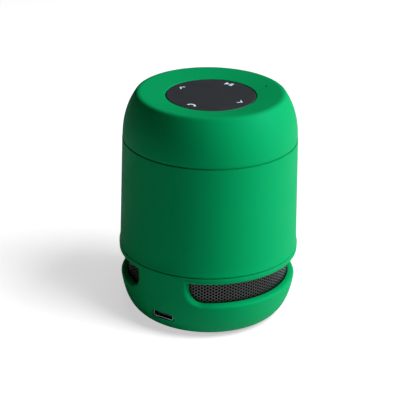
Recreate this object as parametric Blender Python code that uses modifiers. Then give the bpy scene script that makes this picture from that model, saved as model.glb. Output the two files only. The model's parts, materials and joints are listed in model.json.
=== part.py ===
"""Round portable speaker with a touch panel on top and a driver that fires down into a slotted base.

Sizes are in millimetres and become metres as each mesh is made. Z is up, the charging socket faces
-Y, the sound slots face +X and -X, and the origin is the middle of the underside.
"""

import math

import bmesh
import bpy
from mathutils import Vector

MM = 0.001
MERGE = 0.01 * MM
CORNER_ANGLE = 35

# Segments round a turned piece.
LARGE_ROUND = 36
MEDIUM_ROUND = 20
SMALL_ROUND = 8

# Heights of the enclosure.
TOP_Z = 77.1
UPPER_SEAM_Z = 61.7
LOWER_SEAM_Z = 23.9
SEAM = 0.3
UNDERSIDE_Z = 0.6

# Radii of the enclosure.
CAP_RADIUS = 28.8
SLEEVE_TOP_RADIUS = 28.9
SLEEVE_LOW_RADIUS = 29.6
WIDEST_RADIUS = 30.0
CROWN_RADIUS = 23.3
PANEL_RADIUS = 14.7
SLEEVE_INSIDE = 27.3
BASE_INSIDE = 27.2

# Sound slots, measured round the inside wall of the base.
SLOT_RADIUS = 27.4
SLOT_HALF_ANGLE = 70.8
SLOT_LOW_Z = 13.75
SLOT_HIGH_Z = 21.2
SLOT_CORNER = 5.2
SLOT_ROUND_OVER = 1.3
SLOT_ROUND_DEPTH = 2.4

# Touch panel and what lies under it.
PANEL_TOP_Z = 75.9
PANEL_SEAT_Z = 74.5
MIC_RADIUS = 19.4
MIC_ANGLE = 54

# Charging socket, whose middle is on -Y.
PORT_Z = 7.15
PORT_MOUTH_Y = -27.2

# Driver, measured from its flange.
FLANGE_Z = 25.2
FLANGE_RADIUS = 21.4
DRIVER_SCREW_RADIUS = 20.3
COIL_RADIUS = 5.5
MAGNET_RADIUS = 12.0

# Screw posts.
BOSS_RADIUS = 24.2
BOSS_ANGLES = (30, 150, 270)
BASE_BOSS_RADIUS = 15.0
BASE_BOSS_ANGLES = (90, 210, 330)
BOARD_POST_RADIUS = 23.0
CHARGE_POST = (6.2, -18.2)

# Decks inside the sleeve.
BAFFLE_Z = (26.75, 28.75)
TRAY_Z = (46.3, 47.8)
MAIN_BOARD_Z = (57.0, 58.0)
CHARGE_BOARD_Z = (5.0, 5.8)

# Wires pass up through the decks here.
HARNESS_AT = (12.0, 20.8)
SPEAKER_LEADS_Y = 21.5

SWITCH_OFF_X = -1.0

# name: (red, green, blue), roughness, metallic
FINISHES = {
    "soft_green": ((0.0, 0.27, 0.09), 0.5, 0.0),
    "panel_black": ((0.03, 0.03, 0.032), 0.35, 0.0),
    "rubber_black": ((0.02, 0.02, 0.02), 0.8, 0.0),
    "plastic_black": ((0.03, 0.03, 0.03), 0.5, 0.0),
    "grille_metal": ((0.05, 0.05, 0.05), 0.4, 0.8),
    "steel": ((0.55, 0.55, 0.56), 0.3, 1.0),
    "magnet_dark": ((0.08, 0.08, 0.085), 0.45, 0.3),
    "paper_grey": ((0.06, 0.06, 0.065), 0.85, 0.0),
    "spider_cloth": ((0.55, 0.38, 0.12), 0.9, 0.0),
    "copper": ((0.7, 0.3, 0.12), 0.35, 1.0),
    "board_green": ((0.02, 0.16, 0.06), 0.4, 0.0),
    "chip_black": ((0.02, 0.02, 0.022), 0.4, 0.0),
    "tray_grey": ((0.2, 0.2, 0.21), 0.55, 0.0),
    "battery_silver": ((0.5, 0.52, 0.55), 0.35, 0.5),
    "foam_grey": ((0.1, 0.1, 0.1), 0.95, 0.0),
    "adhesive_white": ((0.7, 0.7, 0.68), 0.6, 0.0),
    "connector_white": ((0.75, 0.74, 0.7), 0.45, 0.0),
    "flex_amber": ((0.5, 0.22, 0.03), 0.35, 0.0),
    "wire_red": ((0.5, 0.02, 0.02), 0.5, 0.0),
    "wire_black": ((0.02, 0.02, 0.02), 0.5, 0.0),
}


def clear_scene():
    for obj in list(bpy.data.objects):
        bpy.data.objects.remove(obj, do_unlink=True)


def new_collection(name):
    collection = bpy.data.collections.new(name)
    bpy.context.scene.collection.children.link(collection)
    return collection


def make_finish(name, colour, roughness, metallic):
    material = bpy.data.materials.new(name)
    material.use_nodes = True
    shader = material.node_tree.nodes["Principled BSDF"]
    shader.inputs["Base Color"].default_value = (*colour, 1.0)
    shader.inputs["Roughness"].default_value = roughness
    shader.inputs["Metallic"].default_value = metallic
    return material


clear_scene()
SPEAKER = new_collection("portable_speaker")
TOOLS = new_collection("cutters")
MATERIALS = {name: make_finish(name, *values) for name, values in FINISHES.items()}


# ---------------------------------------------------------------- outlines


def bezier(start, lean_out, lean_in, end, steps):
    """Points along a cubic curve, both ends included."""
    points = []
    for step in range(steps + 1):
        t = step / steps
        u = 1 - t
        weights = (u**3, 3 * u * u * t, 3 * u * t * t, t**3)
        corners = (start, lean_out, lean_in, end)
        points.append(tuple(sum(w * c[axis] for w, c in zip(weights, corners)) for axis in (0, 1)))
    return points


def on_circle(radius, degrees):
    """(x, y) at this angle from +X."""
    return radius * math.cos(math.radians(degrees)), radius * math.sin(math.radians(degrees))


def smooth_route(points, steps):
    """A Catmull-Rom curve through the points of a wire's route."""
    ends = [Vector(points[0])] + [Vector(p) for p in points] + [Vector(points[-1])]
    route = []
    for a, b, c, d in zip(ends, ends[1:], ends[2:], ends[3:]):
        for step in range(steps):
            t = step / steps
            bend = 2 * a - 5 * b + 4 * c - d
            twist = 3 * b - a - 3 * c + d
            route.append(b + 0.5 * t * (c - a) + 0.5 * t * t * bend + 0.5 * t**3 * twist)
    route.append(Vector(points[-1]))
    return route


# ---------------------------------------------------------------- shapes


def add_piece(name, data, finish):
    """Links a sub-part, or a cutter when it has no finish."""
    obj = bpy.data.objects.new(name, data)
    if finish is None:
        TOOLS.objects.link(obj)
        obj.hide_render = True
        obj.display_type = "WIRE"
        return obj
    SPEAKER.objects.link(obj)
    data.materials.append(MATERIALS[finish])
    return obj


def turned(name, profile, finish, segments=MEDIUM_ROUND):
    """A profile of (radius, z), run down its outer side, turned about Z."""
    points = [(radius * MM, 0.0, z * MM) for radius, z in profile]
    edges = [(i, i + 1) for i in range(len(points) - 1)]
    meets_axis = profile[0][0] == 0 and profile[-1][0] == 0
    if not meets_axis:
        edges.append((len(points) - 1, 0))
    mesh = bpy.data.meshes.new(name)
    mesh.from_pydata(points, edges, [])
    obj = add_piece(name, mesh, finish)
    turn = obj.modifiers.new("Turn", "SCREW")
    turn.steps = turn.render_steps = segments
    turn.use_merge_vertices = True
    turn.merge_threshold = MERGE
    return obj


def ring(name, inner, outer, low, high, finish, segments=MEDIUM_ROUND):
    profile = [(outer, high), (outer, low), (inner, low), (inner, high)]
    return turned(name, profile, finish, segments)


def disc(name, radius, low, high, finish, segments=MEDIUM_ROUND):
    return turned(name, [(0, high), (radius, high), (radius, low), (0, low)], finish, segments)


def box(name, low, high, finish, bevel=0.0):
    """A box between two corners, with its origin at its middle."""
    low, high = Vector(low), Vector(high)
    shape = bmesh.new()
    bmesh.ops.create_cube(shape, size=MM)
    bmesh.ops.scale(shape, vec=high - low, verts=shape.verts)
    mesh = bpy.data.meshes.new(name)
    shape.to_mesh(mesh)
    shape.free()
    obj = add_piece(name, mesh, finish)
    obj.location = (low + high) / 2 * MM
    if bevel:
        edge = obj.modifiers.new("Edges", "BEVEL")
        edge.width = bevel * MM
        edge.segments = 2
    return obj


def rod(name, x, y, radius, low, high, finish=None, segments=SMALL_ROUND):
    """An upright cylinder."""
    shape = bmesh.new()
    bmesh.ops.create_cone(
        shape,
        cap_ends=True,
        segments=segments,
        radius1=radius * MM,
        radius2=radius * MM,
        depth=(high - low) * MM,
    )
    mesh = bpy.data.meshes.new(name)
    shape.to_mesh(mesh)
    shape.free()
    obj = add_piece(name, mesh, finish)
    obj.location = Vector((x, y, (low + high) / 2)) * MM
    return obj


def plate(name, outline, low, high, finish):
    """A flat outline of (x, y), extruded from low to high along its own Z."""
    curve = bpy.data.curves.new(name, "CURVE")
    curve.dimensions = "2D"
    curve.fill_mode = "BOTH"
    curve.extrude = (high - low) / 2 * MM
    spline = curve.splines.new("POLY")
    spline.points.add(len(outline) - 1)
    for point, (x, y) in zip(spline.points, outline):
        point.co = (x * MM, y * MM, 0.0, 1.0)
    spline.use_cyclic_u = True
    guide = bpy.data.objects.new(name + "_outline", curve)
    TOOLS.objects.link(guide)
    mesh = evaluated_mesh(guide)
    bpy.data.objects.remove(guide)
    shape = bmesh.new()
    shape.from_mesh(mesh)
    bmesh.ops.remove_doubles(shape, verts=shape.verts, dist=MERGE)
    bmesh.ops.recalc_face_normals(shape, faces=shape.faces)
    bmesh.ops.translate(shape, vec=(0, 0, (low + high) / 2 * MM), verts=shape.verts)
    shape.to_mesh(mesh)
    shape.free()
    return add_piece(name, mesh, finish)


def wire(name, route, diameter, finish, steps=2):
    """A round wire along a smooth curve through the route."""
    curve = bpy.data.curves.new(name, "CURVE")
    curve.dimensions = "3D"
    curve.bevel_depth = diameter / 2 * MM
    curve.bevel_resolution = 2
    curve.use_fill_caps = True
    points = smooth_route(route, steps)
    spline = curve.splines.new("POLY")
    spline.points.add(len(points) - 1)
    for point, place in zip(spline.points, points):
        point.co = (*(place * MM), 1.0)
    return add_piece(name, curve, finish)


def ribbon(name, route, width, thickness, finish):
    """A flat flex along a route of (y, z), as wide as it is along X."""
    points = smooth_route([(0, y, z) for y, z in route], 2)
    shape = bmesh.new()
    corners = [shape.verts.new((-width / 2 * MM, p.y * MM, p.z * MM)) for p in points]
    edges = [shape.edges.new(pair) for pair in zip(corners, corners[1:])]
    strip = bmesh.ops.extrude_edge_only(shape, edges=edges)["geom"]
    moved = [part for part in strip if isinstance(part, bmesh.types.BMVert)]
    bmesh.ops.translate(shape, vec=(width * MM, 0, 0), verts=moved)
    mesh = bpy.data.meshes.new(name)
    shape.to_mesh(mesh)
    shape.free()
    obj = add_piece(name, mesh, finish)
    thicken = obj.modifiers.new("Thickness", "SOLIDIFY")
    thicken.thickness = thickness * MM
    return obj


# ---------------------------------------------------------------- cutting and joining


def evaluated_mesh(obj):
    graph = bpy.context.evaluated_depsgraph_get()
    return bpy.data.meshes.new_from_object(obj.evaluated_get(graph))


def combine(piece, tool, operation):
    step = piece.modifiers.new(tool.name, "BOOLEAN")
    step.operation = operation
    step.object = tool


def cut(piece, tool):
    combine(piece, tool, "DIFFERENCE")


def join(piece, tool):
    combine(piece, tool, "UNION")


def drill(piece, x, y, radius, low, high):
    cut(piece, rod(piece.name + "_hole", x, y, radius, low, high))


def add_post(piece, x, y, radius, low, high):
    join(piece, rod(piece.name + "_post", x, y, radius, low, high))


def settle(obj):
    """Turns a piece's modifiers into its mesh, smooth where it is round and sharp at its corners."""
    mesh = evaluated_mesh(obj)
    obj.modifiers.clear()
    obj.data = mesh
    mesh.shade_smooth()
    mesh.set_sharp_from_angle(angle=math.radians(CORNER_ANGLE))


# ---------------------------------------------------------------- enclosure


def boss_places():
    return [on_circle(BOSS_RADIUS, angle) for angle in BOSS_ANGLES]


def base_boss_places():
    return [on_circle(BASE_BOSS_RADIUS, angle) for angle in BASE_BOSS_ANGLES]


def make_top_cap():
    """Rounded ring: crest, outer side, skirt inside the sleeve, inner side, panel seat and shallow dish."""
    low = UPPER_SEAM_Z + SEAM / 2
    crest = bezier((CROWN_RADIUS, TOP_Z), (24.2, TOP_Z), (24.5, 76.8), (24.8, 76.3), 3)[:-1]
    side = bezier((24.8, 76.3), (26.5, 73.75), (CAP_RADIUS, 69.3), (CAP_RADIUS, low + 0.2), 5)
    skirt = [(28.6, low), (27.0, low), (27.0, 59.2), (25.6, 59.2), (25.6, 62.6)]
    inside = bezier((26.6, 64.0), (26.6, 69.0), (24.9, 75.3), (20.8, 75.3), 4)
    seat = [
        (15.9, 74.8),
        (15.9, 73.3),
        (13.2, 73.3),
        (13.2, PANEL_SEAT_Z),
        (14.95, PANEL_SEAT_Z),
        (14.95, 75.8),
        (15.1, 75.95),
    ]
    cap = turned("top_cap", crest + side + skirt + inside + seat, "soft_green", LARGE_ROUND)
    drill(cap, *on_circle(MIC_RADIUS, MIC_ANGLE), 0.5, 72.0, 79.0)


def make_body_sleeve():
    """Long tube with a flared bottom edge. Its three posts take screws from both ends."""
    high = UPPER_SEAM_Z - SEAM / 2
    low = LOWER_SEAM_Z + SEAM / 2
    profile = [
        (SLEEVE_TOP_RADIUS - 0.2, high),
        (SLEEVE_TOP_RADIUS, high - 0.2),
        (SLEEVE_LOW_RADIUS, 27.0),
        (29.72, 25.6),
        (29.95, 24.7),
        (WIDEST_RADIUS, 24.3),
        (WIDEST_RADIUS - 0.2, low),
        (27.8, low),
        (27.8, 26.8),
        (SLEEVE_INSIDE, 27.1),
        (SLEEVE_INSIDE, high),
    ]
    sleeve = turned("body_sleeve", profile, "soft_green", LARGE_ROUND)
    low, high = BAFFLE_Z[1] + 0.3, TRAY_Z[0] - 0.2
    for angle, (x, y) in zip(BOSS_ANGLES, boss_places()):
        add_post(sleeve, x, y, 2.3, low, high)
        web = box("sleeve_web", (0, -1.2, low), (3.6, 1.2, high), None)
        web_middle = on_circle(BOSS_RADIUS + 1.8, angle)
        web.location = Vector((*web_middle, (low + high) / 2)) * MM
        web.rotation_euler.z = math.radians(angle)
        join(sleeve, web)
    for x, y in boss_places():
        drill(sleeve, x, y, 1.0, low - 1, low + 6)
        drill(sleeve, x, y, 1.0, high - 6, high + 1)


def slot_stations(half_length, offset):
    """(along, low z, high z) of a slot's edge, grown by offset, from one end to the other."""
    corner = SLOT_CORNER + offset
    start = -half_length + SLOT_CORNER
    centre_z = SLOT_LOW_Z + SLOT_CORNER
    high = SLOT_HIGH_Z + offset
    left = []
    corner_steps = 4
    for step in range(corner_steps):
        turn = math.radians(180 + 90 * step / corner_steps)
        left.append((start + corner * math.cos(turn), centre_z + corner * math.sin(turn), high))
    straight = 10
    middle = [(start - 2 * start * i / straight, SLOT_LOW_Z - offset, high) for i in range(1, straight)]
    low_end = [(start, SLOT_LOW_Z - offset, high)]
    right = [(-along, low, top) for along, low, top in reversed(left + low_end)]
    return left + low_end + middle + right


def slot_cutter(name, facing):
    """A slot bent round the axis, flaring to soft edges at the outer wall."""
    half_length = math.radians(SLOT_HALF_ANGLE) * SLOT_RADIUS
    start_radius = WIDEST_RADIUS - SLOT_ROUND_DEPTH
    layers = [(BASE_INSIDE - 0.3, 0.0)]
    for turn in (0, 45, 90):
        lean = math.radians(turn)
        radius = start_radius + SLOT_ROUND_DEPTH * math.sin(lean)
        layers.append((radius, SLOT_ROUND_OVER * (1 - math.cos(lean))))
    layers.append((WIDEST_RADIUS + 1.5, SLOT_ROUND_OVER))
    shape = bmesh.new()
    grid = []
    for radius, offset in layers:
        rows = []
        for along, low, high in slot_stations(half_length, offset):
            x, y = on_circle(radius, facing + math.degrees(along / SLOT_RADIUS))
            pair = [shape.verts.new((x * MM, y * MM, z * MM)) for z in (low, high)]
            rows.append(pair)
        grid.append(rows)
    count = len(grid[0])
    for i in range(count - 1):
        for inner, outer in zip(grid, grid[1:]):
            shape.faces.new((inner[i][0], inner[i + 1][0], outer[i + 1][0], outer[i][0]))
            shape.faces.new((inner[i][1], outer[i][1], outer[i + 1][1], inner[i + 1][1]))
        for rows in (grid[0], grid[-1]):
            shape.faces.new((rows[i][0], rows[i][1], rows[i + 1][1], rows[i + 1][0]))
    for i in (0, count - 1):
        for inner, outer in zip(grid, grid[1:]):
            shape.faces.new((inner[i][0], outer[i][0], outer[i][1], inner[i][1]))
    bmesh.ops.recalc_face_normals(shape, faces=shape.faces)
    mesh = bpy.data.meshes.new(name)
    shape.to_mesh(mesh)
    shape.free()
    return add_piece(name, mesh, None)


def socket_outline(half_width, height, chamfer):
    """Micro-USB outline of (x, z): wide below, with its two upper corners cut off."""
    low, high = PORT_Z - height / 2, PORT_Z + height / 2
    right = [(half_width, low), (half_width, high - chamfer), (half_width - chamfer, high)]
    return right + [(-x, z) for x, z in reversed(right)]


def socket_block(name, outline, back_y, front_y, finish):
    """The outline of (x, z) run along Y: turning by 90 degrees about X takes local Z to -Y."""
    block = plate(name, outline, -back_y, -front_y, finish)
    block.rotation_euler.x = math.radians(90)
    return block


def make_base_shell():
    """Base: straight wall, bowl, foot groove, plate opening, floor, diffuser ledge and spigot."""
    high = LOWER_SEAM_Z - SEAM
    wall = [(29.75, high), (29.98, high - 0.2)]
    bowl = bezier((29.55, 14.5), (28.9, 8.4), (27.0, UNDERSIDE_Z), (21.5, UNDERSIDE_Z), 6)
    underside = [
        (20.9, UNDERSIDE_Z),
        (20.9, 1.5),
        (18.3, 1.5),
        (18.3, UNDERSIDE_Z),
        (17.4, UNDERSIDE_Z),
        (17.4, 2.4),
        (13.4, 2.4),
        (13.4, 3.6),
    ]
    inside = [(20.8, 3.6), (23.6, 4.4), (25.0, 6.2), (25.3, 8.6), (25.3, 9.6), (BASE_INSIDE, 9.6)]
    spigot = [(BASE_INSIDE, 22.9), (26.2, 23.1), (26.2, 26.4), (27.5, 26.4), (27.5, high)]
    profile = wall + bowl + underside + inside + spigot
    base = turned("base_shell", profile, "soft_green", LARGE_ROUND)
    for name, facing in (("right_slot", 0), ("left_slot", 180)):
        cut(base, slot_cutter(name, facing))
    cut(base, box("board_pocket", (-5.2, -26.3, 4.4), (5.2, -20.0, 8.6), None))
    cut(base, socket_block("socket_opening", socket_outline(4.3, 2.9, 1.0), -25.0, -31.0, None))
    for x, y in base_boss_places():
        add_post(base, x, y, 2.1, 2.6, 7.0)
        drill(base, x, y, 0.95, 0.5, 6.4)
    post_x, post_y = CHARGE_POST
    for side in (-1, 1):
        add_post(base, side * post_x, post_y, 1.6, 3.0, CHARGE_BOARD_Z[0] - 0.15)
        drill(base, side * post_x, post_y, 0.8, 2.6, 6.0)


def make_base_plate():
    """Disc that closes the underside, with a finger recess round the switch."""
    plate_disc = disc("base_plate", 17.1, 0.9, 2.2, "plastic_black", LARGE_ROUND)
    for x, y in base_boss_places():
        drill(plate_disc, x, y, 1.55, 0.0, 1.7)
        drill(plate_disc, x, y, 0.95, 0.0, 3.0)
    cut(plate_disc, box("finger_recess", (-4.6, -2.3, 0.0), (4.6, 2.3, 1.5), None))
    cut(plate_disc, box("knob_slot", (-2.2, -1.15, 0.0), (2.2, 1.15, 3.0), None))


def make_foot_ring():
    profile = [(20.7, 1.35), (20.7, 0.25), (20.45, 0), (18.75, 0), (18.5, 0.25), (18.5, 1.35)]
    turned("foot_ring", profile, "rubber_black", LARGE_ROUND)


def make_grille():
    ring("grille", 26.35, 26.85, 11.15, 22.7, "grille_metal", LARGE_ROUND)


def make_sound_diffuser():
    """Hollow cone that turns the driver's sound outwards, with a flange under the grille."""
    top = bezier((0, 19.5), (7.0, 18.6), (12.0, 11.4), (24.5, 10.95), 5)
    under = bezier((24.0, 9.75), (11.5, 10.3), (6.5, 17.3), (0, 18.3), 5)
    diffuser = turned(
        "sound_diffuser", top + [(26.9, 10.95), (26.9, 9.75)] + under, "plastic_black", MEDIUM_ROUND
    )
    drill(diffuser, *HARNESS_AT, 1.15, 8.0, 14.0)


# ---------------------------------------------------------------- touch panel and microphone


def make_touch_parts():
    top = PANEL_TOP_Z
    profile = [(0, top), (PANEL_RADIUS - 0.2, top), (PANEL_RADIUS, top - 0.2), (PANEL_RADIUS, 74.8), (0, 74.8)]
    turned("touch_panel", profile, "panel_black", LARGE_ROUND)
    ring("panel_adhesive", 13.4, 14.7, PANEL_SEAT_Z + 0.05, 74.75, "adhesive_white")
    disc("touch_board", 12.9, 73.8, 74.6, "board_green")
    route = [(3, 73.6), (6.5, 72.6), (9, 69.5), (10, 65), (9.6, 61), (7.4, 59), (4.5, 58.4)]
    ribbon("touch_flex", route, 8.0, 0.2, "flex_amber")


def make_microphone():
    x, y = on_circle(MIC_RADIUS, MIC_ANGLE)
    cup = [(3.0, 74.6), (3.0, 71.2), (2.2, 71.2), (2.2, 73.6), (0.6, 73.6), (0.6, 74.6)]
    boot = turned("microphone_boot", cup, "rubber_black", SMALL_ROUND)
    capsule = disc("microphone", 2.0, 71.7, 73.3, "steel", SMALL_ROUND)
    for piece in (boot, capsule):
        piece.location = (x * MM, y * MM, 0)
    route = [(x, y, 71.5), (x + 0.4, y, 68), (15, 13, 64), (16, 11, 60.5), (16, 10.5, 58.2)]
    wire("microphone_lead", route, 0.9, "wire_black")


# ---------------------------------------------------------------- electronics


def make_inner_tray():
    """Deck with a frame for the battery and posts for the main board."""
    low, high = TRAY_Z
    tray = disc("inner_tray", 26.6, low, high, "tray_grey", LARGE_ROUND)
    join(tray, box("battery_frame", (-18.5, -13.5, high - 0.5), (18.5, 13.5, high + 2.4), None))
    cut(tray, box("battery_bay", (-17.3, -12.3, high), (17.3, 12.3, high + 4), None))
    for x, y in ((BOARD_POST_RADIUS, 0), (-BOARD_POST_RADIUS, 0)):
        add_post(tray, x, y, 1.8, high - 0.5, MAIN_BOARD_Z[0] - 0.15)
        drill(tray, x, y, 0.8, 51.0, 58.0)
    for x, y in boss_places():
        drill(tray, x, y, 0.95, low - 1, high + 1)
    drill(tray, *HARNESS_AT, 1.15, low - 1, high + 1)
    lead_gap = box("lead_gap", (-5, SPEAKER_LEADS_Y - 1.6, low - 1), (5, SPEAKER_LEADS_Y + 1.6, high + 1), None)
    cut(tray, lead_gap)


def make_battery():
    box("battery", (-17, -12, 48.4), (17, 12, 54.4), "battery_silver", bevel=1.2)
    box("battery_pad", (-15, -10, 47.95), (15, 10, 48.25), "foam_grey")
    box("battery_connector", (-3, -19, 53.4), (3, -14.8, 56.85), "connector_white", bevel=0.3)
    for side, colour in ((-1, "black"), (1, "red")):
        x = 1.3 * side
        route = [(x, -12.2, 51.3), (x, -14.0, 51.1), (x, -16.0, 51.3), (x, -16.9, 52.2), (x, -16.9, 53.25)]
        wire("battery_lead_" + colour, route, 1.0, "wire_" + colour)


def make_main_board():
    low, high = MAIN_BOARD_Z
    board = disc("main_board", 25.0, low, high, "board_green", LARGE_ROUND)
    for x in (-BOARD_POST_RADIUS, BOARD_POST_RADIUS):
        drill(board, x, 0, 0.95, low - 1, high + 1)
    box("bluetooth_module", (-18.5, -11, high + 0.15), (-5.5, -1, high + 2.3), "steel", bevel=0.4)
    box("amplifier_chip", (7.5, -8.5, high + 0.15), (12.5, -3.5, high + 1.1), "chip_black", bevel=0.15)


def make_charge_board():
    """Board with a tongue that carries the socket into the wall's pocket."""
    right = [(8.0, 6.0), (8.0, -21.4), (4.6, -22.4), (4.6, -25.9)]
    outline = right + [(-x, y) for x, y in reversed(right)]
    board = plate("charge_board", outline, *CHARGE_BOARD_Z, "board_green")
    post_x, post_y = CHARGE_POST
    for x in (-post_x, post_x):
        drill(board, x, post_y, 0.9, 4.0, 7.0)


def make_charge_socket():
    shell = socket_block("usb_shell", socket_outline(3.75, 2.4, 0.75), PORT_MOUTH_Y + 5.0, PORT_MOUTH_Y, "steel")
    hollow = socket_outline(3.45, 1.8, 0.62)
    cut(shell, socket_block("usb_hollow", hollow, PORT_MOUTH_Y + 4.6, PORT_MOUTH_Y - 1.0, None))
    low = PORT_Z - 0.45
    box("usb_tongue", (-2.4, PORT_MOUTH_Y + 0.7, low), (2.4, PORT_MOUTH_Y + 4.5, low + 0.6), "chip_black")


def make_power_switch():
    body = box("switch_body", (-4.2, -1.9, 3.05), (4.2, 1.9, 4.85), "steel")
    cut(body, box("switch_channel", (-2.3, -1.15, 2.0), (2.3, 1.15, 4.3), None))
    x = SWITCH_OFF_X
    box("switch_knob", (x - 0.9, -0.85, 1.1), (x + 0.9, 0.85, 4.1), "plastic_black", bevel=0.12)


def make_charge_harness():
    x, y = HARNESS_AT
    route = [
        (5, 4.5, 6.8),
        (7.5, 10.5, 7.4),
        (10.6, 17.6, 7.4),
        (x, y, 9.4),
        (x, y, 16.0),
        (x, y, 28.0),
        (x, y, 40.0),
        (x, y, 50.0),
        (11.4, 19.6, 54.5),
        (11.0, 19.0, 56.8),
    ]
    wire("charge_harness", route, 1.6, "wire_black")


# ---------------------------------------------------------------- driver


def driver_screw_places():
    return [on_circle(DRIVER_SCREW_RADIUS, angle) for angle in BASE_BOSS_ANGLES]


def make_baffle():
    low, high = BAFFLE_Z
    baffle = ring("baffle_plate", 18.9, 26.9, low, high, "plastic_black", LARGE_ROUND)
    gasket = ring("driver_gasket", 18.9, FLANGE_RADIUS, FLANGE_Z + 1.07, low - 0.08, "foam_grey")
    for x, y in driver_screw_places():
        drill(baffle, x, y, 0.8, low - 1, high + 1)
        drill(gasket, x, y, 0.9, FLANGE_Z, high)
    for x, y in boss_places():
        drill(baffle, x, y, 1.0, low - 1, high + 1)
    drill(baffle, *HARNESS_AT, 1.15, low - 1, high + 1)


def make_driver_frame():
    """Basket: magnet plate above, windowed cone and the screw flange below."""
    back = 34.4
    outer = [(12.9, back), (14.2, 33.2), (17.6, 27.6), (18.2, FLANGE_Z + 1.0), (FLANGE_RADIUS, FLANGE_Z + 1.0)]
    inner = [(FLANGE_RADIUS, FLANGE_Z), (17.7, FLANGE_Z), (17.0, 27.4), (13.6, 32.8), (12.6, 33.6)]
    frame = turned("driver_frame", outer + inner + [(6.9, 33.6), (6.9, back)], "steel")
    for facing in (0, 90, 180, 270):
        window = box("basket_window", (-4.0, -4.5, 28.2), (4.0, 4.5, 31.8), None)
        window.location = Vector((*on_circle(16.0, facing + 45), 30.0)) * MM
        window.rotation_euler.z = math.radians(facing + 45)
        cut(frame, window)
    for x, y in driver_screw_places():
        drill(frame, x, y, 0.9, FLANGE_Z - 1, FLANGE_Z + 2)
    box("driver_terminals", (-4, 16.9, 29.4), (4, 17.7, 33.0), "chip_black")


def make_moving_coil():
    """Cone, dust cap and voice coil, which travel along Z together."""
    cone = [(6.3, 31.3), (15.0, 25.75), (15.3, 25.15), (14.4, 25.15), (6.05, 30.6)]
    turned("driver_cone", cone, "paper_grey")
    cap_top = bezier((0, 27.3), (4.0, 27.3), (7.0, 28.1), (8.2, 28.85), 3)
    cap_under = bezier((8.3, 28.6), (7.0, 27.8), (4.0, 27.0), (0, 27.0), 3)
    turned("driver_dust_cap", cap_top + cap_under, "paper_grey")
    wound = COIL_RADIUS + 0.8
    former = COIL_RADIUS + 0.4
    coil = [(former, 36.4), (former, 36.2), (wound, 36.1), (wound, 33.5), (former, 33.4), (former, 30.2)]
    turned("driver_voice_coil", coil + [(COIL_RADIUS, 30.2), (COIL_RADIUS, 36.4)], "copper")


def roll_profile(samples, thickness):
    """A thin sheet through samples of (radius, z), thickened downwards."""
    return samples + [(radius, z - thickness) for radius, z in reversed(samples)]


def make_suspension():
    """Half-roll surround at the cone's rim and corrugated spider at its neck. Both deform."""
    inner, outer = 14.3, 18.9
    roll_middle, roll_radius = 16.6, 1.25
    bend = [
        (roll_middle - roll_radius * math.cos(math.pi * i / 5), 24.95 - 1.2 * math.sin(math.pi * i / 5))
        for i in range(6)
    ]
    turned("driver_surround", roll_profile([(inner, 24.95)] + bend + [(outer, 24.95)], 0.35), "rubber_black")
    start, end, waves = 6.15, 13.9, 7
    ripple = [
        (start + (end - start) * i / waves, 32.0 + (0.35 if i % 2 else -0.35) * (0 < i < waves))
        for i in range(waves + 1)
    ]
    turned("driver_spider", roll_profile(ripple, 0.3), "spider_cloth")


def make_motor():
    ring("driver_top_plate", 6.7, MAGNET_RADIUS, 34.6, 36.2, "steel")
    ring("driver_magnet", 7.6, MAGNET_RADIUS + 0.4, 36.35, 40.3, "magnet_dark")
    back_low, back_high = 40.45, 42.2
    pole = COIL_RADIUS - 0.4
    yoke = [(0, back_high), (MAGNET_RADIUS, back_high), (MAGNET_RADIUS, back_low), (pole, back_low)]
    turned("driver_yoke", yoke + [(pole, 34.0), (0, 34.0)], "steel")


def make_driver_leads():
    for side, colour in ((-1, "black"), (1, "red")):
        x = 2.6 * side
        y = SPEAKER_LEADS_Y
        route = [(x, 17.3, 33.2), (x, 18.2, 36.0), (x, y, 41.0), (x, y, 48.0), (x, y - 0.5, 53.0), (x, y - 1.5, 56.8)]
        wire("driver_lead_" + colour, route, 1.1, "wire_" + colour)


# ---------------------------------------------------------------- screws


def screw_mesh(name, head_radius, head_height, shank_radius, length):
    """Pan-head screw with a crossed recess. Its origin is under the head, and its shank runs down."""
    profile = [
        (0, head_height),
        (head_radius * 0.7, head_height),
        (head_radius, head_height * 0.45),
        (head_radius, 0),
        (shank_radius, 0),
        (shank_radius, 0.6 - length),
        (0, -length),
    ]
    blank = turned(name, profile, "steel", SMALL_ROUND)
    reach, half_blade, deep = head_radius * 0.6, head_radius * 0.14, head_height * 0.45
    cut(blank, box("blade", (-reach, -half_blade, deep), (reach, half_blade, head_height + 1), None))
    cut(blank, box("blade", (-half_blade, -reach, deep), (half_blade, reach, head_height + 1), None))
    settle(blank)
    mesh = blank.data
    bpy.data.objects.remove(blank)
    return mesh


def place_screws(name, mesh, places, z, from_below):
    for number, (x, y) in enumerate(places, 1):
        screw = bpy.data.objects.new(f"{name}_{number}", mesh)
        SPEAKER.objects.link(screw)
        screw.location = (x * MM, y * MM, z * MM)
        if from_below:
            screw.rotation_euler.x = math.pi


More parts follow.
